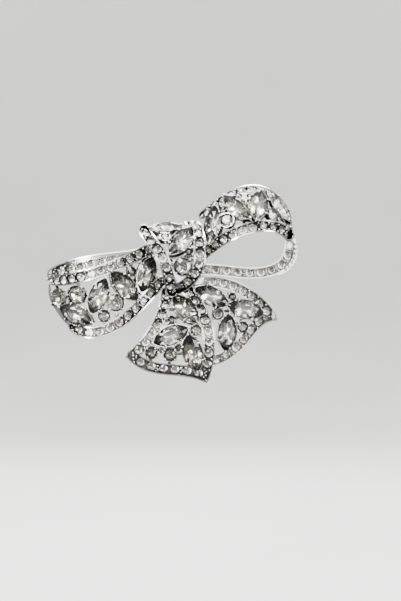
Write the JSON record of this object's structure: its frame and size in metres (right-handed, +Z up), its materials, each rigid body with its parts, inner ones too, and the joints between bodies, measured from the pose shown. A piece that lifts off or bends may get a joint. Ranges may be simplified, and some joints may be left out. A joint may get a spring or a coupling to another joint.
{
  "type": "brooch",
  "caption": "Asymmetric ribbon-bow brooch of open-work castings set with clear stones, on a pin bar with a hinged stem and a rolling safety catch.",
  "frame": {"origin": "on the axis of the pin stem, at the middle of the pin bar", "axes": "+X along the pin stem towards its tip, +Z up as worn, the stones face -Y"},
  "size_m": [0.0647, 0.0177, 0.0511],
  "materials": {
    "rhodium": "polished rhodium plate, slightly darkened in the recesses",
    "findings": "plated, softly brushed",
    "pin_steel": "drawn steel wire, bright",
    "crystal": "clear faceted glass, foiled behind"
  },
  "bodies": {
    "brooch": {"catch_base": "findings", "centre_frame": "rhodium", "front_tail": "rhodium", "front_tail_bottom_pave": "crystal", "front_tail_left_pave": "crystal", "front_tail_marquise_1": "crystal", "front_tail_marquise_2": "crystal", "front_tail_marquise_3": "crystal", "front_tail_right_pave": "crystal", "front_tail_round_stones": "crystal", "hinge_bracket": "findings", "hinge_rivet": "pin_steel", "knot_band": "rhodium", "knot_left_pave": "crystal", "knot_marquise_1": "crystal", "knot_marquise_2": "crystal", "knot_right_pave": "crystal", "knot_round_stones": "crystal", "left_back_pave": "crystal", "left_loop_back": "rhodium", "left_loop_front": "rhodium", "left_loop_marquise_1": "crystal", "left_loop_marquise_2": "crystal", "left_loop_marquise_3": "crystal", "left_loop_marquise_4": "crystal", "left_loop_round_stones": "crystal", "left_lower_pave": "crystal", "left_upper_pave": "crystal", "pin_bar": "findings", "rear_tail": "rhodium", "rear_tail_lower_pave": "crystal", "rear_tail_marquise_1": "crystal", "rear_tail_marquise_2": "crystal", "rear_tail_marquise_3": "crystal", "rear_tail_round_stones": "crystal", "rear_tail_upper_pave": "crystal", "right_inner_pave": "crystal", "right_loop_front": "rhodium", "right_loop_marquise_1": "crystal", "right_loop_marquise_2": "crystal", "right_loop_marquise_3": "crystal", "right_loop_marquise_4": "crystal", "right_loop_return": "rhodium", "right_loop_round_stones": "crystal", "right_outer_pave": "crystal", "right_return_pave": "crystal"},
    "pin": {"pin_stem": "pin_steel"},
    "roller": {"catch_roller": "findings"}
  },
  "joints": [
    {"name": "pin_hinge", "type": "hinge", "parent": "brooch", "child": "pin", "pos_m": [-0.0114, 0, 0], "axis": [0, 0, 1], "range_deg": [0, 80]},
    {"name": "catch_roll", "type": "hinge", "parent": "brooch", "child": "roller", "pos_m": [0.0114, 0, 0], "axis": [1, 0, 0], "range_deg": [0, 104]}
  ]
}
